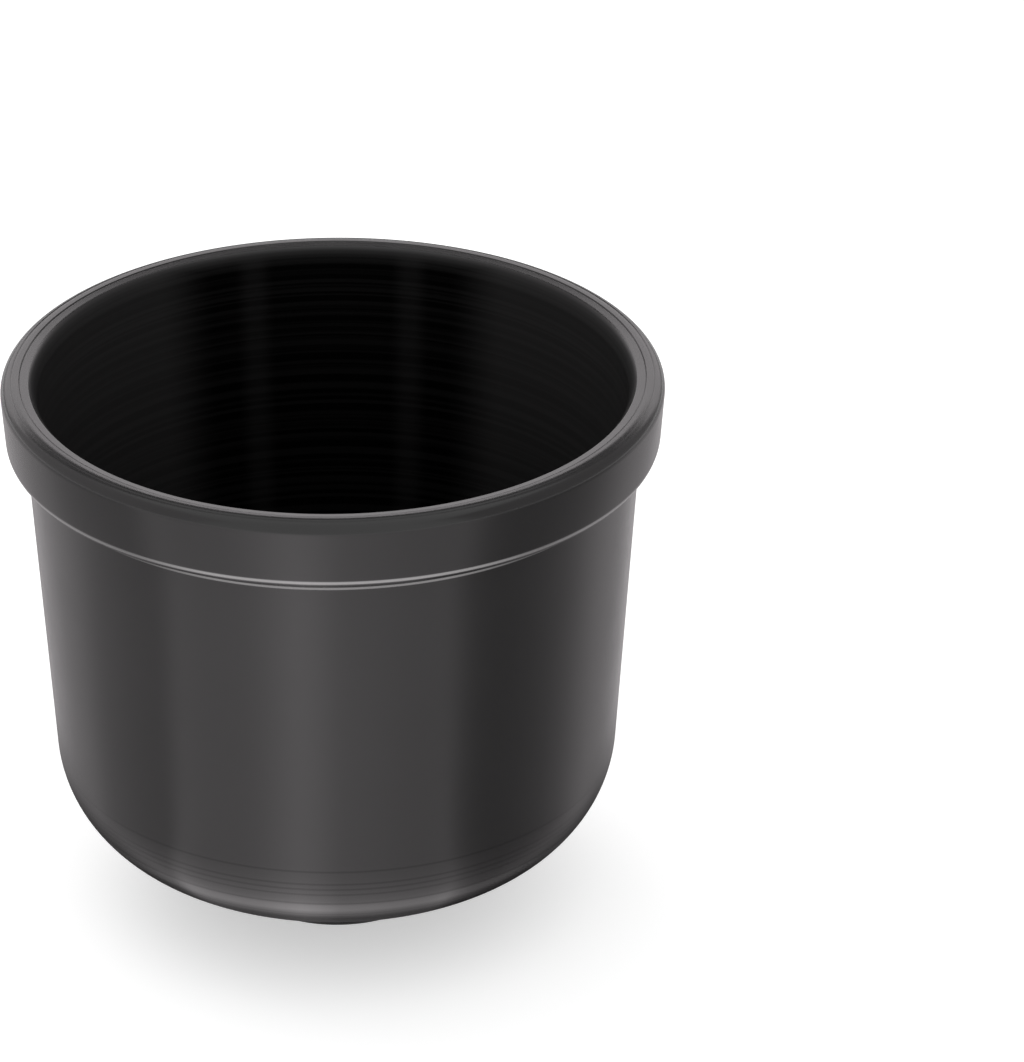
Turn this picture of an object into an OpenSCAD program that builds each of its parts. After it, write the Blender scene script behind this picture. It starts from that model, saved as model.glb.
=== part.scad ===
// Cup holder for a car seat: a tapered round cup with a thick rim band, moulded
// in one piece with a twist-lock boss under its flat base.
// Millimetres. +Z is up and the origin is the centre of the boss's end face.
// The two lock ears point along X.

/* [Cup] */
// Height from the flat base to the top of the rim
cup_height = 76.5; // [70:0.5:106]
// Lean of the wall below the rim band, in degrees from upright
wall_draft = 3.7; // [2:0.1:5]
// Thickness of the cup's wall
wall_thickness = 2.4; // [2.2:0.1:2.8]
// Thickness of the cup's floor
base_thickness = 2.6; // [2:0.1:4]
// Outer radius of the round lower corner
corner_radius = 19; // [18:0.5:24]
// Height of the round corner's centre above the flat base
corner_height = 16.5; // [14:0.1:17.4]
// Rounding of the edge where the corner meets the flat base
base_edge_radius = 1.4; // [0.6:0.1:2]
// Radius inside the round lower corner
inner_corner_radius = 12.5; // [10:0.5:14]

/* [Rim band] */
// Widest diameter of the rim band
rim_diameter = 100.4; // [96:0.2:112]
// Height of the rim band
band_height = 11.2; // [9:0.1:16]
// Inward lean of the band's outer face, in degrees from upright
band_draft = 4.2; // [1:0.1:7]
// Step from the wall out to the band's lower edge
band_overhang = 2.9; // [2.7:0.05:3.6]
// Rounding of the band's lower edge
band_edge_radius = 2.2; // [1:0.1:2.3]
// Fillet between the band's underside and the wall
band_root_radius = 0.6; // [0.3:0.1:0.8]
// Rounding from the top land to the band's outer face
rim_outer_radius = 1.8; // [1:0.1:2]
// Rounding from the top land into the mouth
rim_inner_radius = 1.6; // [1:0.1:1.7]
// Width of the flat land on top of the rim
land_width = 1.5; // [1.2:0.1:2]
// Height of the land above the roundings beside it
land_rise = 0.12; // [0.06:0.02:0.3]
// Radius of the flared mouth between the rim and the inner wall
mouth_radius = 25; // [18:1:40]

/* [Twist-lock boss] */
// Outer diameter of the boss ring
boss_diameter = 32; // [28:0.5:36]
// Height of the boss below the flat base
boss_height = 11.3; // [9:0.1:14]
// Thickness of the boss ring
ring_thickness = 1.8; // [1.4:0.1:2.6]
// Thickness of the straight web across the ring
web_thickness = 3.2; // [2:0.1:4.4]
// Rounding in the four corners beside the web
pocket_corner_radius = 1.1; // [0.5:0.1:1.8]

/* [Lock ears] */
// Distance that each ear stands out from the ring
ear_reach = 3.7; // [2.4:0.1:5]
// Width of each ear
ear_width = 13.9; // [11:0.1:16]
// Thickness of each ear along the boss
ear_thickness = 3.7; // [2.8:0.1:5]
// Rounding of each ear's outer corners
ear_corner_radius = 1; // [0.4:0.1:1.4]
// Fillet between each ear's sides and the ring
ear_root_radius = 1.6; // [0.8:0.1:2.4]
// Height of the catch tooth on each ear's inner face
tooth_height = 1.9; // [1:0.1:2.4]
// Width of the catch tooth at its foot
tooth_width = 4.4; // [3:0.2:5.4]
// Width of the catch tooth's crest
tooth_crest = 0.3; // [0.2:0.1:0.6]

/* [Part choice] */
// Node to draw

/* [Hidden] */
$fn = 120;
// Overlap that joins solids and clears cuts
lap = 1;
// Amount that a round stands proud of the faces it runs into
proud = 0.001;

// Heights
base_z = boss_height;
floor_z = base_z + base_thickness;
rim_z = base_z + cup_height;
shoulder_z = rim_z - land_rise;
band_low_z = rim_z - band_height;
corner_z = base_z + corner_height;
base_edge_z = base_z + base_edge_radius;
band_edge_z = band_low_z + band_edge_radius;
band_top_z = shoulder_z - rim_outer_radius;
root_z = band_low_z - band_root_radius;

// Radii of the rim's land
land_out_r = rim_diameter / 2 - rim_outer_radius;
land_in_r = land_out_r - land_width;

// Radius of the band's outer face at a height
function band_r(z) = land_out_r + rim_outer_radius / cos(band_draft) - tan(band_draft) * (band_top_z - z);
body_top_r = band_r(band_low_z) - band_overhang;

// Radius of the wall's outer and inner faces at a height
function wall_r(z) = body_top_r - tan(wall_draft) * (band_low_z - z);
function bore_r(z) = wall_r(z) - wall_thickness / cos(wall_draft);

// Centre radii of the profile's rounds
corner_r = wall_r(corner_z) - corner_radius / cos(wall_draft);
base_edge_run = sqrt(pow(corner_radius - base_edge_radius, 2) - pow(corner_height - base_edge_radius, 2));
base_edge_r = corner_r + base_edge_run;
base_edge_angle = -atan2(corner_height - base_edge_radius, base_edge_run);
band_edge_r = band_r(band_edge_z) - band_edge_radius / cos(band_draft);
root_r = wall_r(root_z) + band_root_radius / cos(wall_draft);

// Inner corner of the cup's floor
bowl_radius = inner_corner_radius;
bowl_z = floor_z + bowl_radius;
bowl_r = bore_r(bowl_z) - bowl_radius / cos(wall_draft);

// Mouth: a flare that is tangent to the inner wall and to the rim's inner rounding
lip_z = shoulder_z - rim_inner_radius;
lip_gap = (land_in_r - bore_r(lip_z)) * cos(wall_draft);
flare_swing = acos(min(1, (mouth_radius - lip_gap) / (mouth_radius - rim_inner_radius)));
flare_angle = wall_draft + flare_swing;
flare_r = land_in_r + (mouth_radius - rim_inner_radius) * cos(flare_angle);
flare_z = lip_z - (mouth_radius - rim_inner_radius) * sin(flare_angle);

// Boss and ears
ring_r = boss_diameter / 2;
pocket_r = ring_r - ring_thickness;
ear_r = ring_r + ear_reach;
ear_half = ear_width / 2;

// Point at a radius and an angle from a centre in the profile plane
function polar(c, radius, angle) = [c[0] + radius * cos(angle), c[1] + radius * sin(angle)];

// Quarter of a round that faces out and down, for a convex lower corner
module lower_round(r, z, radius) {
    intersection() {
        translate([r, z]) circle(r = radius + proud);
        translate([r, z - radius]) square([radius + lap, radius]);
    }
}

// Wall below the band, filled in to the axis
module wall_profile() {
    polygon([
        [0, base_z],
        [base_edge_r, base_z],
        polar([corner_r, corner_z], corner_radius, base_edge_angle),
        polar([corner_r, corner_z], corner_radius, -wall_draft),
        [wall_r(band_low_z + lap), band_low_z + lap],
        [0, band_low_z + lap]
    ]);
    intersection() {
        translate([corner_r, corner_z]) circle(r = corner_radius + proud);
        polygon([
            [corner_r, corner_z],
            polar([corner_r, corner_z], 2 * corner_radius, base_edge_angle),
            [corner_r + 2 * corner_radius, corner_z]
        ]);
    }
    intersection() {
        translate([base_edge_r, base_edge_z]) circle(r = base_edge_radius + 2 * proud);
        translate([base_edge_r, base_z]) square([base_edge_radius + lap, base_edge_radius]);
    }
}

// Rim band with its rounded edges, filled in to the axis
module band_profile() {
    polygon([
        [0, band_low_z],
        [band_edge_r, band_low_z],
        polar([band_edge_r, band_edge_z], band_edge_radius, -band_draft),
        polar([land_out_r, band_top_z], rim_outer_radius, -band_draft),
        [land_out_r, shoulder_z],
        [0, shoulder_z]
    ]);
    lower_round(band_edge_r, band_edge_z, band_edge_radius);
    translate([land_out_r, band_top_z]) circle(r = rim_outer_radius + proud);
    translate([0, shoulder_z - lap]) square([land_out_r, lap + land_rise]);
}

// Fillet under the band
module root_profile() {
    difference() {
        polygon([
            [wall_r(band_low_z + lap / 2) - lap, band_low_z + lap / 2],
            [root_r, band_low_z + lap / 2],
            [root_r, root_z],
            polar([root_r, root_z], band_root_radius, 180 - wall_draft),
            [wall_r(root_z) - lap, root_z]
        ]);
        translate([root_r, root_z]) circle(r = band_root_radius + proud);
    }
}

// Hollow of the cup
module bowl_profile() {
    difference() {
        polygon([
            [0, floor_z],
            [bowl_r, floor_z],
            polar([bowl_r, bowl_z], bowl_radius, -wall_draft),
            polar([flare_r, flare_z], mouth_radius, 180 - wall_draft),
            polar([land_in_r, lip_z], rim_inner_radius, 180 - flare_angle),
            [land_in_r, shoulder_z],
            [land_in_r, rim_z + lap],
            [0, rim_z + lap]
        ]);
        intersection() {
            translate([flare_r, flare_z]) circle(r = mouth_radius + proud, $fn = 720);
            polygon([
                [flare_r, flare_z],
                polar([flare_r, flare_z], 2 * mouth_radius, 180 - flare_angle),
                polar([flare_r, flare_z], 2 * mouth_radius, 180)
            ]);
        }
        translate([land_in_r, lip_z]) circle(r = rim_inner_radius + 2 * proud);
    }
    lower_round(bowl_r, bowl_z, bowl_radius);
}

// Outline of one ear, seen along the boss
module ear_outline() {
    corner_y = ear_half - ear_corner_radius;
    corner_x = sqrt(pow(ear_r - ear_corner_radius, 2) - pow(corner_y, 2));
    root_y = ear_half + ear_root_radius;
    root_x = sqrt(pow(ring_r + ear_root_radius, 2) - pow(root_y, 2));
    foot = ring_r / (ring_r + ear_root_radius);
    translate([0, -ear_half]) square([corner_x, ear_width]);
    intersection() {
        circle(r = ear_r);
        polygon([[0, 0], [2 * corner_x, 2 * corner_y], [2 * corner_x, -2 * corner_y]]);
    }
    for (side = [-1, 1]) {
        translate([corner_x, side * corner_y]) circle(r = ear_corner_radius + proud);
        difference() {
            polygon([
                [0, 0],
                [root_x * foot, side * root_y * foot],
                [root_x, side * root_y],
                [root_x, side * (ear_half - ear_corner_radius)]
            ]);
            translate([root_x, side * root_y]) circle(r = ear_root_radius + proud);
        }
    }
}

// One ear with its catch tooth on the face that looks at the base
module ear() {
    linear_extrude(height = ear_thickness) ear_outline();
    intersection() {
        translate([0, 0, ear_thickness - lap]) cylinder(r = ear_r, h = tooth_height + lap);
        rotate([90, 0, 90]) linear_extrude(height = 2 * ear_r)
            polygon([
                [-tooth_width / 2, ear_thickness - lap],
                [tooth_width / 2, ear_thickness - lap],
                [tooth_width / 2, ear_thickness],
                [tooth_crest / 2, ear_thickness + tooth_height],
                [-tooth_crest / 2, ear_thickness + tooth_height],
                [-tooth_width / 2, ear_thickness]
            ]);
    }
}

// Outline of the half-round pocket on the +Y side of the web
module pocket_outline() {
    web_half = web_thickness / 2;
    corner_y = web_half + pocket_corner_radius;
    corner_x = sqrt(pow(pocket_r - pocket_corner_radius, 2) - pow(corner_y, 2));
    start_x = corner_x * web_half / corner_y;
    intersection() {
        circle(r = pocket_r);
        polygon([
            [start_x, web_half],
            [2 * corner_x, 2 * corner_y],
            [2 * pocket_r, 2 * pocket_r],
            [-2 * pocket_r, 2 * pocket_r],
            [-2 * corner_x, 2 * corner_y],
            [-start_x, web_half]
        ]);
    }
    translate([-corner_x, web_half]) square([2 * corner_x, pocket_corner_radius]);
    for (side = [-1, 1]) {
        translate([side * corner_x, corner_y]) circle(r = pocket_corner_radius + proud);
    }
}

// Boss ring with both ears, still filled
module boss() {
    cylinder(r = ring_r, h = boss_height + lap);
    ear();
    rotate([0, 0, 180]) ear();
}

// The whole moulding
module cup() {
    color([0.08, 0.08, 0.085])
    difference() {
        union() {
            rotate_extrude() {
                wall_profile();
                band_profile();
                root_profile();
            }
            boss();
        }
        rotate_extrude() bowl_profile();
        for (turn = [0, 180]) {
            rotate([0, 0, turn]) translate([0, 0, -lap])
                linear_extrude(height = boss_height + lap) pocket_outline();
        }
    }
}

cup();
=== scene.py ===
"""Car seat cup holder: form, finish, camera, floor and light."""

import math

import bmesh
import bpy
from mathutils import Matrix, Vector


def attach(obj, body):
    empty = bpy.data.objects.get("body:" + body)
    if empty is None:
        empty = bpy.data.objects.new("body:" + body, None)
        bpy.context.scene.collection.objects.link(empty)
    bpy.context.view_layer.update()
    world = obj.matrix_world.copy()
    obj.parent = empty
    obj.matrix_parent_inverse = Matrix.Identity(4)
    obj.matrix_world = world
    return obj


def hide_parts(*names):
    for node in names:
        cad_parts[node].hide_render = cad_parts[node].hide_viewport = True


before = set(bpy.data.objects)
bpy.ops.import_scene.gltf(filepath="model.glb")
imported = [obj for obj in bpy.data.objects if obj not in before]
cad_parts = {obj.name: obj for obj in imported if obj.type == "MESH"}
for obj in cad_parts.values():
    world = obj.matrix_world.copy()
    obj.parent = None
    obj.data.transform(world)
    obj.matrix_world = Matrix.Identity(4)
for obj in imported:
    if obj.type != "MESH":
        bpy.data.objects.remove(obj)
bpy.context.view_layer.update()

MM = 0.001

# Sizes of the solid, in millimetres and degrees
CUP_HEIGHT = 76.5
WALL_DRAFT = 3.7
WALL_THICKNESS = 2.4
BASE_THICKNESS = 2.6
CORNER_RADIUS = 19.0
CORNER_HEIGHT = 16.5
BASE_EDGE_RADIUS = 1.4
INNER_CORNER_RADIUS = 12.5
RIM_DIAMETER = 100.4
BAND_HEIGHT = 11.2
BAND_DRAFT = 4.2
BAND_OVERHANG = 2.9
BAND_EDGE_RADIUS = 2.2
BAND_ROOT_RADIUS = 0.6
RIM_OUTER_RADIUS = 1.8
LAND_RISE = 0.12
BOSS_RADIUS = 16.0
BOSS_HEIGHT = 11.3
RING_THICKNESS = 1.8
WEB_THICKNESS = 3.2
POCKET_CORNER_RADIUS = 1.1
EAR_REACH = 3.7
EAR_WIDTH = 13.9
EAR_THICKNESS = 3.7
EAR_CORNER_RADIUS = 1.0
EAR_ROOT_RADIUS = 1.6
TOOTH_HEIGHT = 1.9
TOOTH_WIDTH = 4.4
TOOTH_CREST = 0.3

# Finer forms of the rim's top, which the solid has as one plain rounding
LAND_OUT_R = 48.5
LAND_IN_R = 47.4
LAND_DOME = 0.65
GROOVE_WIDTH = 0.25
GROOVE_DEPTH = 0.1
LIP_R = 46.2
LIP_RADIUS = 0.4
LEDGE_TILT = 8.0
LIP_FLARE = 4.0

# Fine lines round the lower corner, in degrees of the corner's round
RING_TURNS = (6.2, 13.5, 16.8, 20.4, 27.3, 38.8)
# A polished ring on the lower corner, with more gloss and a painted highlight
POLISH_AND_HIGHLIGHT_BAND = (28.5, 35.0)
FINE_RINGS_START = 40.0
FINE_RING_STEP = 1.7

# Heights and radii that follow from them
BASE_Z = BOSS_HEIGHT
FLOOR_Z = BASE_Z + BASE_THICKNESS
TOP_Z = BASE_Z + CUP_HEIGHT
SHOULDER_Z = TOP_Z - LAND_RISE
BAND_LOW_Z = TOP_Z - BAND_HEIGHT
BAND_TOP_Z = SHOULDER_Z - RIM_OUTER_RADIUS
CORNER_Z = BASE_Z + CORNER_HEIGHT
RIM_ROUND_R = RIM_DIAMETER / 2 - RIM_OUTER_RADIUS

# Camera: distance, heading and lens that match the photograph's circles
CAMERA_DISTANCE = 0.9072
CAMERA_RISE = 26.03
CAMERA_YAW = 1.908
CAMERA_PITCH = 27.552
CAMERA_ROLL = 0.23
FOCAL_PIXELS = 6000
FRAME_HEIGHT = 1062
SENSOR = 36.0

LATHE_STEPS = 240
EDGE_BEVEL = 0.15
BEVEL_ANGLE = 35
SHARP_ANGLE = 32
LOOP_GAP = 0.05

# Places on the surface, in millimetres: heights over the base, the band's lower edge and the top
GRAIN_EDGE = (0.05, 0.3)
# Painted highlights: heights of the band's lower edge and of the wall just under it, and the radii they
# start from
EDGE_HIGHLIGHT = (1.12, 1.66)
EDGE_HIGHLIGHT_R = (47.5, 48.0)
ROOT_HIGHLIGHT = (-1.25, -0.9)
ROOT_HIGHLIGHT_R = (45.5, 46.0)
INSIDE_LOW = 2.0
INSIDE_TOP = 0.5
INSIDE_SOFT = 0.4
SEAM_HALF = 0.1
SEAM_TOP = 7.0
SEAM_GAP_R = (16.5, 33.0)

# Shades of the plastic, its tint, and how rough it is
PLAIN_SHADE = 0.010
CLOUD_SHADE = 0.004
GRAIN_SHADE = 0.010
# Paler colour of the lower corner's polished ring: a painted highlight
BAND_HIGHLIGHT_SHADE = 0.018
# Pale colour that paints the highlights on the band's lower edge
EDGE_HIGHLIGHT_SHADE = 0.34
INNER_RING_SHADE = 0.004
# Painted reflection inside: the shade of its pale sides and floor, and of its pale line
INNER_REFLECTION_SHADE = 0.018
INNER_REFLECTION_LINE_SHADE = 0.006
TINT = (1.02, 0.99, 1.0)
PLAIN_ROUGH = 0.18
SMEAR_ROUGH = 0.10
GRAIN_ROUGH = 0.22
INNER_ROUGH = 0.25
BUMP_DEPTH = 0.00006

# Painted reflection inside: where its pale sides begin, and its pale line, in degrees from the back
INNER_REFLECTION_SIDES = (24.0, 38.0)
INNER_REFLECTION_LINE = 16.0

# Noise per metre
CLOUD_SCALE = 60.0
SMEAR_SCALE = 140.0
SKIN_SCALE = 2600.0
GRAIN_SCALE = 2200.0
INNER_RING_SCALE = 800.0

# Studio, in metres
WORLD_LIGHT = 0.9
FLOOR_SHADE = 0.86
FLOOR_GLOW = 0.45
KEY_PLACE = (-0.5, 0.5, 0.9)
KEY_TARGET = (0, 0, 0.04)
KEY_SIZE = 0.9
KEY_POWER = 1.8
FLOOR_HALF = 4.0
FLOOR_DROP = -0.0001
FAN_HEIGHT = 0.0006
FAN_WALL = 0.044
FAN_KNEE = 0.037
FAN_CORE = 0.025
FAN_REACH = 0.6
FAN_STEPS = 60
FOOT_CARD_STEPS = 48

# A painted shadow of the cup in the floor's reflection: radii between which it rises from dark to full,
# at the front and at the sides, and the share of a quarter turn where the front ends and the side begins
DARK_FRONT = (0.030, 0.039)
DARK_SIDE = (0.045, 0.085)
DARK_TURNS = (0.3, 0.9)
DARK_SHADE = 0.1

# Shades of the fan by heading on the wall, in degrees from the front
FAN_SHADES = [
    (-90, 0.62), (-77, 0.68), (-67, 0.68), (-61, 0.72), (-55, 0.58), (-45, 0.56), (-37, 0.55),
    (-34.5, 1.10), (-28, 0.98), (-20, 1.06), (-16, 1.22), (-12, 1.54), (-8, 1.86), (-4, 1.62),
    (0, 1.20), (6, 1.10), (12, 0.96), (18, 0.88), (23, 0.96), (25, 0.54), (29, 0.30), (34, 0.24),
    (41, 0.28), (47, 0.36), (52, 0.46), (57, 0.62), (62, 0.70), (70, 0.60), (80, 0.70), (90, 0.72),
]

# The card behind the cup, in metres, with its shades by height, and the plain cards beside it
CARD_COLOUR = (1.0, 0.955, 0.975, 1.0)
CARD_AWAY = 1.6
CARD_HALF = 1.5
CARD_TOP = 2.6
BACK_SHADES = [
    (0, 0.45), (0.26, 0.45), (0.32, 1.45), (0.84, 1.45),
    (0.97, 2.60), (1.08, 2.60), (1.14, 0.20),
]
SIDE_SHADES = {"left_card": 0.75, "right_card": 0.5}


def tan(angle):
    return math.tan(math.radians(angle))


def cos(angle):
    return math.cos(math.radians(angle))


def sin(angle):
    return math.sin(math.radians(angle))


def band_r(z):
    return RIM_ROUND_R + RIM_OUTER_RADIUS / cos(BAND_DRAFT) - tan(BAND_DRAFT) * (BAND_TOP_Z - z)


def wall_r(z):
    return band_r(BAND_LOW_Z) - BAND_OVERHANG - tan(WALL_DRAFT) * (BAND_LOW_Z - z)


def bore_r(z):
    return wall_r(z) - WALL_THICKNESS / cos(WALL_DRAFT)


def arc(centre, radius, start, end, steps):
    """Points along an arc, from one angle to the other."""
    angles = [start + (end - start) * i / steps for i in range(steps + 1)]
    return [(centre[0] + radius * cos(a), centre[1] + radius * sin(a)) for a in angles]


def cup_profile():
    """The cup's section from the middle of its underside, over the rim, to the middle of its floor."""
    corner_r = wall_r(CORNER_Z) - CORNER_RADIUS / cos(WALL_DRAFT)
    drop = CORNER_HEIGHT - BASE_EDGE_RADIUS
    run = math.sqrt((CORNER_RADIUS - BASE_EDGE_RADIUS) ** 2 - drop ** 2)
    meet = -math.degrees(math.atan2(drop, run))
    root_z = BAND_LOW_Z - BAND_ROOT_RADIUS
    root_r = wall_r(root_z) + BAND_ROOT_RADIUS / cos(WALL_DRAFT)
    edge_z = BAND_LOW_Z + BAND_EDGE_RADIUS
    edge_r = band_r(edge_z) - BAND_EDGE_RADIUS / cos(BAND_DRAFT)
    groove_run = LAND_OUT_R + GROOVE_WIDTH - RIM_ROUND_R
    groove_turn = math.degrees(math.acos(groove_run / RIM_OUTER_RADIUS))
    dome_radius = (LAND_DOME ** 2 + LAND_RISE ** 2) / (2 * LAND_RISE)
    dome_centre = (LAND_OUT_R - LAND_DOME, TOP_Z - dome_radius)
    dome_turn = math.degrees(math.acos(LAND_DOME / dome_radius))
    ledge_r = LAND_IN_R - GROOVE_WIDTH
    ledge_stops = (ledge_r, ledge_r - LOOP_GAP, LIP_R + 2 * LOOP_GAP)
    ledge = [(r, SHOULDER_Z - tan(LEDGE_TILT) * (ledge_r - r)) for r in ledge_stops]
    lip_z = SHOULDER_Z - tan(LEDGE_TILT) * (ledge_r - LIP_R) - LIP_RADIUS
    gap = (LIP_R - bore_r(lip_z)) * cos(WALL_DRAFT)
    spare = LIP_FLARE - LIP_RADIUS
    flare = WALL_DRAFT + math.degrees(math.acos((LIP_FLARE - gap) / spare))
    flare_centre = (LIP_R + spare * cos(flare), lip_z - spare * sin(flare))
    bowl_z = FLOOR_Z + INNER_CORNER_RADIUS
    bowl_r = bore_r(bowl_z) - INNER_CORNER_RADIUS / cos(WALL_DRAFT)
    return [
        (0, BASE_Z),
        *arc((corner_r + run, BASE_Z + BASE_EDGE_RADIUS), BASE_EDGE_RADIUS, -90, meet, 5),
        *arc((corner_r, CORNER_Z), CORNER_RADIUS, meet, -WALL_DRAFT, 24)[1:],
        *arc((root_r, root_z), BAND_ROOT_RADIUS, 180 - WALL_DRAFT, 90, 6),
        *arc((edge_r, edge_z), BAND_EDGE_RADIUS, -90, -BAND_DRAFT, 14),
        *arc((RIM_ROUND_R, BAND_TOP_Z), RIM_OUTER_RADIUS, -BAND_DRAFT, groove_turn, 14),
        (LAND_OUT_R + GROOVE_WIDTH / 2, SHOULDER_Z - GROOVE_DEPTH),
        *arc(dome_centre, dome_radius, dome_turn, 90, 6),
        (LAND_IN_R, TOP_Z),
        (LAND_IN_R - GROOVE_WIDTH / 2, SHOULDER_Z - GROOVE_DEPTH / 2),
        *ledge,
        *arc((LIP_R, lip_z), LIP_RADIUS, 90 + LEDGE_TILT, 180 - flare, 5),
        *arc(flare_centre, LIP_FLARE, 180 - flare, 180 - WALL_DRAFT, 14)[1:],
        *arc((bowl_r, bowl_z), INNER_CORNER_RADIUS, -WALL_DRAFT, -90, 18),
        (0, FLOOR_Z),
    ]


def link_mesh(name, work):
    """An object from a bmesh in millimetres."""
    work.normal_update()
    bmesh.ops.scale(work, vec=(MM, MM, MM), verts=work.verts)
    mesh = bpy.data.meshes.new(name)
    work.to_mesh(mesh)
    work.free()
    piece = bpy.data.objects.new(name, mesh)
    bpy.context.scene.collection.objects.link(piece)
    return piece


def lathe(name, profile):
    """Turns a profile that starts and ends on the axis."""
    work = bmesh.new()
    first = work.verts.new((0, 0, profile[0][1]))
    last = work.verts.new((0, 0, profile[-1][1]))
    rings = []
    for r, z in profile[1:-1]:
        turns = [360 * i / LATHE_STEPS for i in range(LATHE_STEPS)]
        rings.append([work.verts.new((r * cos(a), r * sin(a), z)) for a in turns])
    for i in range(LATHE_STEPS):
        j = (i + 1) % LATHE_STEPS
        work.faces.new((first, rings[0][j], rings[0][i]))
        for low, high in zip(rings, rings[1:]):
            work.faces.new((low[i], low[j], high[j], high[i]))
        work.faces.new((last, rings[-1][i], rings[-1][j]))
    return link_mesh(name, work)


def prism(name, outline, low, high):
    """Extrudes a flat outline between two heights."""
    work = bmesh.new()
    bottom = [work.verts.new((x, y, low)) for x, y in outline]
    top = [work.verts.new((x, y, high)) for x, y in outline]
    work.faces.new(reversed(bottom))
    work.faces.new(top)
    for i in range(len(outline)):
        j = (i + 1) % len(outline)
        work.faces.new((bottom[i], bottom[j], top[j], top[i]))
    return link_mesh(name, work)


def mirrored(points, x=1, y=1):
    """The points in mirrored order, so that the outline keeps its direction."""
    flipped = [(px * x, py * y) for px, py in points]
    return flipped[::-1] if x * y < 0 else flipped


def boss_outline(ears=True):
    """The boss seen along its axis, with or without its ears."""
    ear_r = BOSS_RADIUS + EAR_REACH
    half = EAR_WIDTH / 2
    corner_y = half - EAR_CORNER_RADIUS
    corner_x = math.sqrt((ear_r - EAR_CORNER_RADIUS) ** 2 - corner_y ** 2)
    root_y = half + EAR_ROOT_RADIUS
    root_x = math.sqrt((BOSS_RADIUS + EAR_ROOT_RADIUS) ** 2 - root_y ** 2)
    corner_turn = math.degrees(math.atan2(corner_y, corner_x))
    root_turn = math.degrees(math.atan2(root_y, root_x))
    start = arc((0, 0), BOSS_RADIUS, 0, root_turn, 16)[:-1]
    if ears:
        start = [
            *arc((0, 0), ear_r, 0, corner_turn, 8)[:-1],
            *arc((corner_x, corner_y), EAR_CORNER_RADIUS, corner_turn, 90, 6),
            *arc((root_x, root_y), EAR_ROOT_RADIUS, 270, 180 + root_turn, 8)[:-1],
        ]
    quarter = start + arc((0, 0), BOSS_RADIUS, root_turn, 90, 32)
    right = mirrored(quarter, y=-1)[:-1] + quarter
    return right[:-1] + mirrored(right, x=-1, y=-1)[:-1]


def pocket_outline(side):
    """The half-round pocket on one side of the web."""
    pocket_r = BOSS_RADIUS - RING_THICKNESS
    web = WEB_THICKNESS / 2
    corner_y = web + POCKET_CORNER_RADIUS
    corner_x = math.sqrt((pocket_r - POCKET_CORNER_RADIUS) ** 2 - corner_y ** 2)
    turn = math.degrees(math.atan2(corner_y, corner_x))
    quarter = [
        *arc((corner_x, corner_y), POCKET_CORNER_RADIUS, -90, turn, 8),
        *arc((0, 0), pocket_r, turn, 90, 32)[1:],
    ]
    return mirrored(quarter + mirrored(quarter, x=-1)[1:], y=side)


def tooth(name, turn):
    """The catch tooth on one ear, from inside the ring to the ear's outer face."""
    half, crest = TOOTH_WIDTH / 2, TOOTH_CREST / 2
    low, high = EAR_THICKNESS, EAR_THICKNESS + TOOTH_HEIGHT
    section = [
        (-half, low - 1), (half, low - 1), (half, low),
        (crest, high), (-crest, high), (-half, low),
    ]
    work = bmesh.new()
    rows = []
    for y, z in section:
        outer = math.sqrt((BOSS_RADIUS + EAR_REACH) ** 2 - y ** 2)
        rows.append((work.verts.new((BOSS_RADIUS - 1, y, z)), work.verts.new((outer, y, z))))
    for (a, b), (c, d) in zip(rows, rows[1:] + rows[:1]):
        work.faces.new((a, b, d, c))
    work.faces.new([a for a, b in reversed(rows)])
    work.faces.new([b for a, b in rows])
    rotation = Matrix.Rotation(math.radians(turn), 3, "Z")
    bmesh.ops.rotate(work, cent=(0, 0, 0), matrix=rotation, verts=work.verts)
    bmesh.ops.recalc_face_normals(work, faces=work.faces)
    return link_mesh(name, work)


def baked(piece):
    """Applies the piece's modifiers."""
    graph = bpy.context.evaluated_depsgraph_get()
    mesh = bpy.data.meshes.new_from_object(piece.evaluated_get(graph))
    piece.modifiers.clear()
    piece.data = mesh


def combine(piece, other, operation):
    cut = piece.modifiers.new("combine", "BOOLEAN")
    cut.operation = operation
    cut.solver = "EXACT"
    cut.object = other
    baked(piece)
    bpy.data.objects.remove(other)


def merge_flats(piece):
    """Joins the flat faces that the cuts have split."""
    work = bmesh.new()
    work.from_mesh(piece.data)
    bmesh.ops.remove_doubles(work, verts=work.verts, dist=0.001 * MM)
    bmesh.ops.dissolve_limit(work, angle_limit=math.radians(0.3), verts=work.verts, edges=work.edges)
    work.to_mesh(piece.data)
    work.free()


def make_boss():
    """The twist-lock boss: ring, web, ears and catch teeth."""
    boss = prism("boss", boss_outline(), 0, EAR_THICKNESS)
    combine(boss, prism("ring", boss_outline(ears=False), 0, BASE_Z + 1), "UNION")
    for turn in (0, 180):
        combine(boss, tooth("tooth", turn), "UNION")
    for side in (1, -1):
        combine(boss, prism("pocket", pocket_outline(side), -1, BASE_Z + 2), "DIFFERENCE")
    merge_flats(boss)
    bevel = boss.modifiers.new("bevel", "BEVEL")
    bevel.width = EDGE_BEVEL * MM
    bevel.segments = 2
    bevel.limit_method = "ANGLE"
    bevel.angle_limit = math.radians(BEVEL_ANGLE)
    baked(boss)
    return boss


def make_cup():
    """The visible moulding, which stands for the solid."""
    cup = lathe("cup_moulding", cup_profile())
    boss = make_boss()
    work = bmesh.new()
    work.from_mesh(cup.data)
    work.from_mesh(boss.data)
    work.to_mesh(cup.data)
    work.free()
    bpy.data.objects.remove(boss)
    cup.data.materials.clear()
    for face in cup.data.polygons:
        face.use_smooth = True
        face.material_index = 0
    cup.data.set_sharp_from_angle(angle=math.radians(SHARP_ANGLE))
    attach(cup, "root")
    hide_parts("cup")
    return cup


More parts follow.
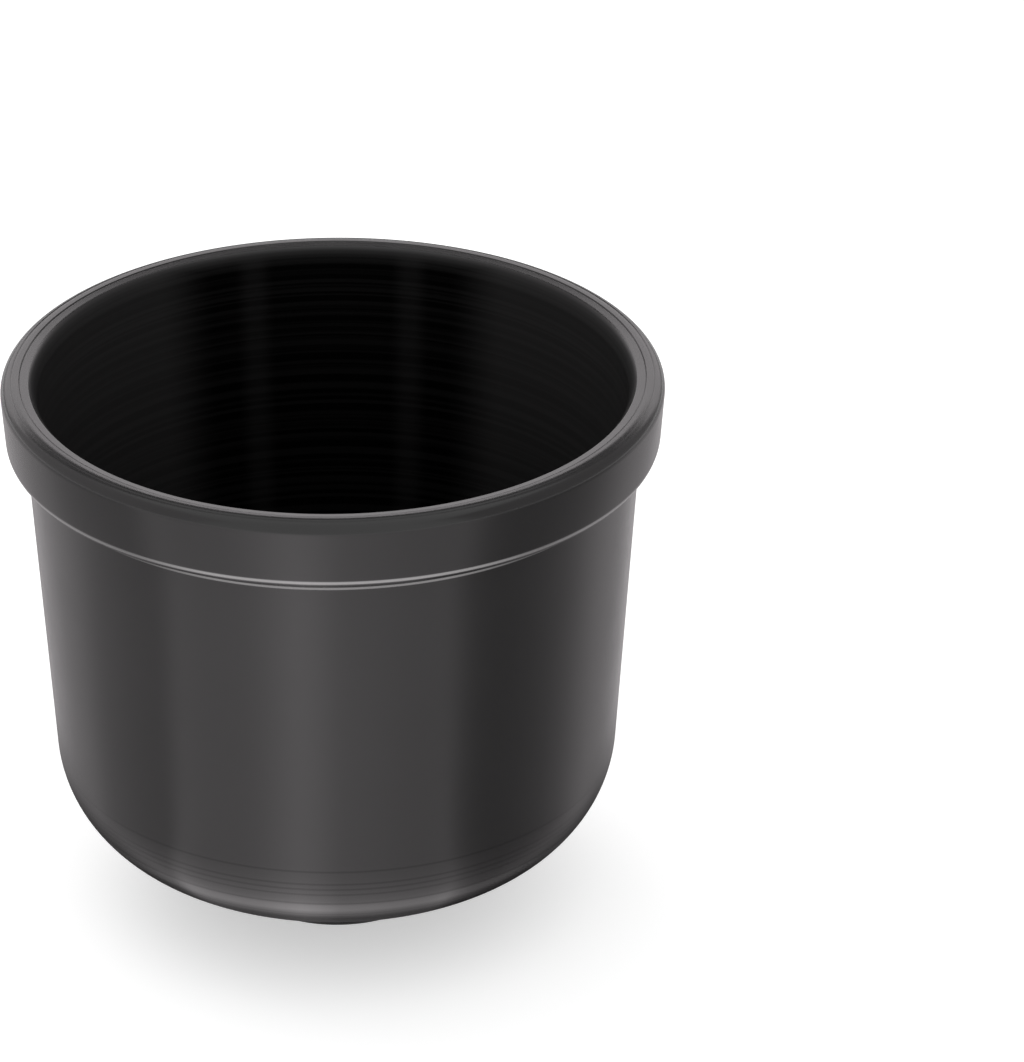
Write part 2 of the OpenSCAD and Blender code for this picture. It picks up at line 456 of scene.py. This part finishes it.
class Tree:
    """Short calls for building a node tree."""

    def __init__(self, tree):
        self.tree = tree
        tree.nodes.clear()

    def add(self, kind, **values):
        node = self.tree.nodes.new(kind)
        for name, value in values.items():
            if hasattr(node, name):
                setattr(node, name, value)
            else:
                node.inputs[name.replace("_", " ")].default_value = value
        return node

    def link(self, source, target):
        self.tree.links.new(source, target)

    def math(self, operation, *terms):
        node = self.add("ShaderNodeMath", operation=operation)
        for socket, term in zip(node.inputs, terms):
            if isinstance(term, (int, float)):
                socket.default_value = term
            else:
                self.link(term, socket)
        return node.outputs[0]

    def step(self, value, start, end):
        """0 below start and 1 above end, with a smooth change between."""
        node = self.add("ShaderNodeMapRange", interpolation_type="SMOOTHSTEP")
        node.inputs["From Min"].default_value = start
        node.inputs["From Max"].default_value = end
        self.link(value, node.inputs["Value"])
        return node.outputs["Result"]

    def between(self, value, low, high, soft):
        """1 between low and high."""
        rise = self.step(value, low - soft, low + soft)
        fall = self.step(value, high - soft, high + soft)
        return self.math("SUBTRACT", rise, fall)

    def line(self, value, centre, half, soft):
        """1 on a line at a value, with soft sides."""
        away = self.math("ABSOLUTE", self.math("SUBTRACT", value, centre))
        return self.math("SUBTRACT", 1.0, self.step(away, half - soft, half + soft))

    def product(self, first, *others):
        for other in others:
            first = self.math("MULTIPLY", first, other)
        return first

    def less(self, value, mask, share):
        """The value, lowered by a share where the mask is 1."""
        return self.math("MULTIPLY", value, self.math("MULTIPLY_ADD", mask, -share, 1.0))

    def ramp(self, value, shades):
        """Greys that follow a list of places, from 0 to 1, and shades."""
        node = self.add("ShaderNodeValToRGB")
        stops = node.color_ramp.elements
        while len(stops) < len(shades):
            stops.new(0.5)
        for stop, (place, shade) in zip(stops, shades):
            stop.position = place
            stop.color = (shade, shade, shade, 1.0)
        self.link(value, node.inputs["Fac"])
        return node.outputs["Color"]

    def rings(self, height, scale):
        """Even noise round the axis that changes with height alone."""
        node = self.add("ShaderNodeTexNoise", noise_dimensions="1D", Scale=scale, Detail=2.0)
        self.link(height, node.inputs["W"])
        return node.outputs["Fac"]

    def split(self, place):
        """The three parts of a place or a direction."""
        node = self.add("ShaderNodeSeparateXYZ")
        self.link(place, node.inputs[0])
        return node.outputs

    def across(self, x, y):
        """The distance from the upright axis."""
        return self.math("SQRT", self.math("ADD", self.product(x, x), self.product(y, y)))

    def noise(self, place, scale, detail=2.0, roughness=0.5):
        node = self.add("ShaderNodeTexNoise", Scale=scale, Detail=detail, Roughness=roughness)
        self.link(place, node.inputs["Vector"])
        return node.outputs["Fac"]


class Surface:
    """Places on the cup as masks for its material."""

    def __init__(self, t):
        self.t = t
        self.place = t.add("ShaderNodeTexCoord").outputs["Object"]
        self.x, self.y, self.z = t.split(self.place)
        self.radius = t.across(self.x, self.y)
        nx, ny, self.up = t.split(t.add("ShaderNodeNewGeometry").outputs["Normal"])
        along = t.math("ADD", t.product(nx, self.x), t.product(ny, self.y))
        self.outward = t.math("DIVIDE", along, self.radius)

    def above_base(self):
        """Everything above the flat base."""
        low, high = GRAIN_EDGE
        return self.t.step(self.z, (BASE_Z + low) * MM, (BASE_Z + high) * MM)

    def grained(self):
        """The flat base and everything below it."""
        return self.t.math("SUBTRACT", 1.0, self.above_base())

    def inside(self):
        """The hollow of the cup, from the lip down."""
        t = self.t
        facing_in = t.step(t.math("MULTIPLY", self.outward, -1.0), 0.5, 0.85)
        rim = t.step(self.z, (TOP_Z - 5) * MM, (TOP_Z - 4) * MM)
        floor = t.math("SUBTRACT", t.step(self.up, 0.1, 0.3), rim)
        low, high = (BASE_Z + INSIDE_LOW) * MM, (TOP_Z - INSIDE_TOP) * MM
        tall = t.between(self.z, low, high, INSIDE_SOFT * MM)
        return t.product(t.math("MAXIMUM", facing_in, floor), tall)

    def corner_turn(self):
        """Degrees round the lower corner, counted down from level."""
        t = self.t
        depth = t.math("DIVIDE", t.math("SUBTRACT", CORNER_Z * MM, self.z), CORNER_RADIUS * MM)
        return t.math("DEGREES", t.math("ARCSINE", t.math("MINIMUM", depth, 1.0)))

    def corner(self):
        """The round lower corner outside."""
        t = self.t
        return t.product(t.step(t.math("MULTIPLY", self.up, -1.0), 0.02, 0.05), self.above_base())

    def painted_edge_highlights(self):
        """Painted highlights along the band's lower edge and on the wall just under it, strongest to the
        front and back.
        """
        t = self.t
        edge = t.between(self.z, *[(BAND_LOW_Z + z) * MM for z in EDGE_HIGHLIGHT], 0.14 * MM)
        root = t.between(self.z, *[(BAND_LOW_Z + z) * MM for z in ROOT_HIGHLIGHT], 0.08 * MM)
        edge = t.product(edge, t.step(self.radius, *[r * MM for r in EDGE_HIGHLIGHT_R]))
        root = t.product(root, t.step(self.radius, *[r * MM for r in ROOT_HIGHLIGHT_R]), 0.8)
        ahead = t.math("DIVIDE", t.math("ABSOLUTE", self.y), self.radius)
        strength = t.math("MULTIPLY_ADD", t.step(ahead, 0.78, 0.95), 0.6, 0.4)
        return t.product(t.math("MAXIMUM", edge, root), strength)

    def seam(self):
        """The parting line of the mould, on the boss ring and low on the corner."""
        t = self.t
        line = t.line(self.y, 0.0, SEAM_HALF * MM, 0.04 * MM)
        ear = t.between(self.radius, *[r * MM for r in SEAM_GAP_R], 0.1 * MM)
        tall = t.between(self.z, EAR_THICKNESS * MM, (BASE_Z + SEAM_TOP) * MM, 0.1 * MM)
        return t.product(line, t.step(self.outward, 0.3, 0.45), tall, t.math("SUBTRACT", 1.0, ear))


def mould_plastic():
    """Black moulded plastic: satin outside, dull inside, fine grain on the base and the boss."""
    material = bpy.data.materials.new("black_plastic")
    material.use_nodes = True
    t = Tree(material.node_tree)
    cup = Surface(t)
    grained, inside, corner, seam = cup.grained(), cup.inside(), cup.corner(), cup.seam()
    turn = cup.corner_turn()

    # Fine lines round the lower corner: shallow grooves in the bump, less gloss, and a darker colour
    # along them that paints shade
    rings = t.line(turn, RING_TURNS[0], 0.5, 0.4)
    for ring in RING_TURNS[1:]:
        rings = t.math("ADD", rings, t.line(turn, ring, 0.4 + ring / 80, 0.35))
    wave = t.math("PINGPONG", turn, FINE_RING_STEP / 2)
    fine = t.product(t.step(wave, 0.2, 0.6), t.step(turn, FINE_RINGS_START, FINE_RINGS_START + 1))
    lines = t.product(t.math("MAXIMUM", rings, t.product(fine, 0.5)), corner)
    # A polished ring on the lower corner: more gloss, and a paler colour that paints a highlight
    light = t.product(t.between(turn, *POLISH_AND_HIGHLIGHT_BAND, 1.5), corner)

    # Shade: black with a slight cloudiness, paler where grained, with painted highlights on the band's
    # lower edge and on the lower corner's polished ring
    shade = t.math("MULTIPLY_ADD", t.noise(cup.place, CLOUD_SCALE, 3.0), CLOUD_SHADE, PLAIN_SHADE)
    shade = t.math("MULTIPLY_ADD", grained, GRAIN_SHADE, shade)
    # Painted highlight on the lower corner's polished ring
    shade = t.math("MULTIPLY_ADD", light, BAND_HIGHLIGHT_SHADE, shade)
    # Painted highlights along the band's lower edge and on the wall under it
    shade = t.math("MULTIPLY_ADD", cup.painted_edge_highlights(), EDGE_HIGHLIGHT_SHADE, shade)

    # Inside: faint rings, and a painted reflection: dark at the back, paler to the sides and on the
    # floor, with a pale line near the back
    back_turn = t.math("DEGREES", t.math("ARCTAN2", t.math("ABSOLUTE", cup.x), cup.y))
    floor = t.step(cup.up, 0.2, 0.8)
    sides = t.math("MAXIMUM", t.step(back_turn, *INNER_REFLECTION_SIDES), floor)
    line = t.less(t.line(back_turn, INNER_REFLECTION_LINE, 2.5, 2.0), floor, 1.0)
    dull = t.product(t.step(t.rings(cup.z, INNER_RING_SCALE), 0.42, 0.62), INNER_RING_SHADE)
    dull = t.math("MULTIPLY_ADD", sides, INNER_REFLECTION_SHADE, dull)
    dull = t.math("MULTIPLY_ADD", line, INNER_REFLECTION_LINE_SHADE, dull)
    shade = t.math("ADD", t.less(shade, inside, 1.0), t.product(dull, inside))
    # Painted shade along the corner's fine lines, and the darker parting line
    shade = t.less(t.less(shade, lines, 0.25), seam, 0.9)
    colour = t.add("ShaderNodeCombineColor")
    for socket, tint in zip(colour.inputs, TINT):
        t.link(t.math("MULTIPLY", shade, tint), socket)

    # Roughness: satin wall with faint smears, matt grained and inner faces
    smear = t.noise(cup.place, SMEAR_SCALE, 4.0, 0.6)
    rough = t.math("MULTIPLY_ADD", smear, SMEAR_ROUGH, PLAIN_ROUGH)
    rough = t.math("MULTIPLY_ADD", grained, GRAIN_ROUGH, rough)
    rough = t.math("MULTIPLY_ADD", inside, INNER_ROUGH, rough)

    # Bump: fine moulding texture, coarser on the grained faces, and the corner's fine lines
    skin = t.noise(cup.place, SKIN_SCALE, 2.0)
    grain = t.noise(cup.place, GRAIN_SCALE, 3.0, 0.7)
    height = t.math("MULTIPLY_ADD", grain, grained, t.math("MULTIPLY", skin, 0.10))
    height = t.math("MULTIPLY_ADD", lines, -0.4, height)
    height = t.math("MULTIPLY_ADD", seam, -1.5, height)
    bump = t.add("ShaderNodeBump", Strength=0.25, Distance=BUMP_DEPTH)
    t.link(height, bump.inputs["Height"])

    shader = t.add("ShaderNodeBsdfPrincipled")
    shader.inputs["IOR"].default_value = 1.5
    gloss = t.less(t.math("MULTIPLY_ADD", light, 0.15, 0.5), inside, 0.9)
    gloss = t.less(t.less(gloss, lines, 0.22), seam, 0.9)
    t.link(gloss, shader.inputs["Specular IOR Level"])
    t.link(colour.outputs[0], shader.inputs["Base Color"])
    t.link(rough, shader.inputs["Roughness"])
    t.link(bump.outputs["Normal"], shader.inputs["Normal"])
    t.link(shader.outputs["BSDF"], t.add("ShaderNodeOutputMaterial").inputs["Surface"])
    return material


def backdrop_factor(t):
    """1 for rays that should see the white background: camera, mirror and glass rays."""
    path = t.add("ShaderNodeLightPath")
    seen = t.math("MAXIMUM", path.outputs["Is Camera Ray"], path.outputs["Is Glossy Ray"])
    return t.math("MAXIMUM", seen, path.outputs["Is Transmission Ray"])


def floor_material():
    """Pale floor that is white where nothing shades it."""
    material = bpy.data.materials.new("pale_floor")
    material.use_nodes = True
    t = Tree(material.node_tree)
    diffuse = t.add("ShaderNodeBsdfDiffuse", Color=(FLOOR_SHADE, FLOOR_SHADE, FLOOR_SHADE, 1.0))
    glow = t.add("ShaderNodeEmission", Color=(1.0, 1.0, 1.0, 1.0), Strength=FLOOR_GLOW)
    both = t.add("ShaderNodeAddShader")
    t.link(diffuse.outputs[0], both.inputs[0])
    t.link(glow.outputs[0], both.inputs[1])
    mix = t.add("ShaderNodeMixShader")
    t.link(backdrop_factor(t), mix.inputs[0])
    t.link(diffuse.outputs[0], mix.inputs[1])
    t.link(both.outputs[0], mix.inputs[2])
    t.link(mix.outputs[0], t.add("ShaderNodeOutputMaterial").inputs["Surface"])
    return material


def sheet_object(name, corners, faces, material):
    """A sheet that belongs to the studio."""
    mesh = bpy.data.meshes.new(name)
    mesh.from_pydata(corners, [], faces)
    mesh.materials.append(material)
    sheet = bpy.data.objects.new(name, mesh)
    bpy.context.scene.collection.objects.link(sheet)
    return sheet


def make_floor():
    half = FLOOR_HALF
    square = ((-half, -half), (half, -half), (half, half), (-half, half))
    corners = [(x, y, FLOOR_DROP) for x, y in square]
    sheet_object("floor", corners, [(0, 1, 2, 3)], floor_material())


def only_reflected(card):
    """Keeps a card out of everything but reflections."""
    card.visible_camera = False
    card.visible_diffuse = False
    card.visible_shadow = False


def card_material(name, strength_of):
    """A glowing card, whose strength a function builds in the node tree."""
    material = bpy.data.materials.new(name)
    material.use_nodes = True
    t = Tree(material.node_tree)
    glow = t.add("ShaderNodeEmission", Color=CARD_COLOUR)
    strength = strength_of(t)
    if isinstance(strength, float):
        glow.inputs["Strength"].default_value = strength
    else:
        t.link(strength, glow.inputs["Strength"])
    t.link(glow.outputs[0], t.add("ShaderNodeOutputMaterial").inputs["Surface"])
    return material


def painted_foot_shadow(t, side):
    """Painted shadow of the cup in the floor's reflection: side is 0 to the front and 1 to the sides."""
    x, y = t.split(t.add("ShaderNodeTexCoord").outputs["Object"])[:2]
    radius = t.across(x, y)
    start = t.math("MULTIPLY_ADD", side, DARK_SIDE[0] - DARK_FRONT[0], DARK_FRONT[0])
    end = t.math("MULTIPLY_ADD", side, DARK_SIDE[1] - DARK_FRONT[1], DARK_FRONT[1])
    share = t.math("DIVIDE", t.math("SUBTRACT", radius, start), t.math("SUBTRACT", end, start))
    return t.math("MULTIPLY_ADD", t.step(share, 0.0, 1.0), 1.0 - DARK_SHADE, DARK_SHADE)


def fan_strength(t):
    """Follows the list of shades across the fan, with the cup's painted shadow near its foot."""
    across = t.split(t.add("ShaderNodeTexCoord").outputs["UV"])["X"]
    shades = t.ramp(across, [((turn + 90) / 180, shade) for turn, shade in FAN_SHADES])
    turned = t.math("ABSOLUTE", t.math("MULTIPLY_ADD", across, 2.0, -1.0))
    return t.product(shades, painted_foot_shadow(t, t.step(turned, *DARK_TURNS)))


def make_fan():
    """A sheet of greys on the floor, fanned out along the rays that the wall and its corner send down."""
    corners, faces, marks = [], [], []
    for i in range(FAN_STEPS + 1):
        turn = -90 + 180 * i / FAN_STEPS
        ray = Vector((sin(2 * turn), -cos(2 * turn)))
        wall = Vector((sin(turn), -cos(turn))) * FAN_WALL
        knee = wall + ray * FAN_KNEE
        core = knee.normalized() * FAN_CORE
        tip = wall + ray * FAN_REACH
        corners += [(*place, FAN_HEIGHT) for place in (core, knee, tip)]
        marks += [(i / FAN_STEPS, row / 2) for row in range(3)]
        if i:
            last, this = 3 * i - 3, 3 * i
            faces += [(last + row, last + row + 1, this + row + 1, this + row) for row in range(2)]
    fan = sheet_object("fan", corners, faces, card_material("fan", fan_strength))
    layer = fan.data.uv_layers.new(name="UVMap")
    for loop in fan.data.loops:
        layer.data[loop.index].uv = marks[loop.vertex_index]
    only_reflected(fan)


def make_foot_card():
    """A dark disc under the cup, which fades out beside it: the cup's painted shadow, seen in
    reflections.
    """
    material = card_material("foot_card", lambda t: painted_foot_shadow(t, 1.0))
    turns = [360 * i / FOOT_CARD_STEPS for i in range(FOOT_CARD_STEPS)]
    corners = [(DARK_SIDE[1] * cos(a), DARK_SIDE[1] * sin(a), FAN_HEIGHT / 2) for a in turns]
    only_reflected(sheet_object("foot_card", corners, [tuple(range(len(turns)))], material))


def back_strength(t):
    """Follows the list of shades up the back card."""
    height = t.math("DIVIDE", t.split(t.add("ShaderNodeTexCoord").outputs["Object"])["Z"], CARD_TOP)
    return t.ramp(height, [(z / CARD_TOP, shade) for z, shade in BACK_SHADES])


def make_cards():
    """Tall cards behind and beside the cup, which the rim's top and its rounding reflect."""
    half, away, top = CARD_HALF, CARD_AWAY, CARD_TOP
    corners = [(-half, away, 0), (half, away, 0), (half, away, top), (-half, away, top)]
    material = card_material("back_card", back_strength)
    only_reflected(sheet_object("back_card", corners, [(0, 1, 2, 3)], material))
    for name, x in (("left_card", -half), ("right_card", half)):
        corners = [(x, -away, 0), (x, away, 0), (x, away, top), (x, -away, top)]
        material = card_material(name, lambda t: SIDE_SHADES[name])
        only_reflected(sheet_object(name, corners, [(0, 1, 2, 3)], material))


def make_world():
    world = bpy.data.worlds.new("studio")
    bpy.context.scene.world = world
    world.use_nodes = True
    t = Tree(world.node_tree)
    light = t.add("ShaderNodeBackground", Color=(1.0, 1.0, 1.0, 1.0), Strength=WORLD_LIGHT)
    white = t.add("ShaderNodeBackground", Color=(1.0, 1.0, 1.0, 1.0), Strength=1.0)
    mix = t.add("ShaderNodeMixShader")
    t.link(backdrop_factor(t), mix.inputs[0])
    t.link(light.outputs[0], mix.inputs[1])
    t.link(white.outputs[0], mix.inputs[2])
    t.link(mix.outputs[0], t.add("ShaderNodeOutputWorld").inputs["Surface"])


def make_lamp(name, place, target, size, power):
    lamp = bpy.data.lights.new(name, "AREA")
    lamp.size = size
    lamp.energy = power
    holder = bpy.data.objects.new(name, lamp)
    holder.location = place
    holder.rotation_euler = (Vector(target) - Vector(place)).to_track_quat("-Z", "Y").to_euler()
    holder.visible_glossy = False
    bpy.context.scene.collection.objects.link(holder)


def make_camera():
    place = Vector((0, -cos(CAMERA_RISE), sin(CAMERA_RISE))) * CAMERA_DISTANCE
    place.z += TOP_Z * MM
    level = Vector((sin(CAMERA_YAW), cos(CAMERA_YAW), 0))
    ahead = level * cos(CAMERA_PITCH) - Vector((0, 0, sin(CAMERA_PITCH)))
    right = Vector((cos(CAMERA_YAW), -sin(CAMERA_YAW), 0))
    up = right.cross(ahead)
    right, up = (
        right * cos(CAMERA_ROLL) + up * sin(CAMERA_ROLL),
        up * cos(CAMERA_ROLL) - right * sin(CAMERA_ROLL),
    )
    data = bpy.data.cameras.new("camera")
    data.sensor_width = SENSOR
    data.lens = FOCAL_PIXELS / FRAME_HEIGHT * SENSOR
    data.clip_start = 0.01
    data.clip_end = 20
    camera = bpy.data.objects.new("camera", data)
    turn = Matrix((right, up, -ahead)).transposed().to_4x4()
    camera.matrix_world = Matrix.Translation(place) @ turn
    bpy.context.scene.collection.objects.link(camera)
    bpy.context.scene.camera = camera


cup = make_cup()
cup.data.materials.append(mould_plastic())

make_floor()
make_fan()
make_foot_card()
make_cards()
make_world()
make_lamp("key", KEY_PLACE, KEY_TARGET, KEY_SIZE, KEY_POWER)
make_camera()

bpy.context.scene.view_settings.view_transform = "Standard"
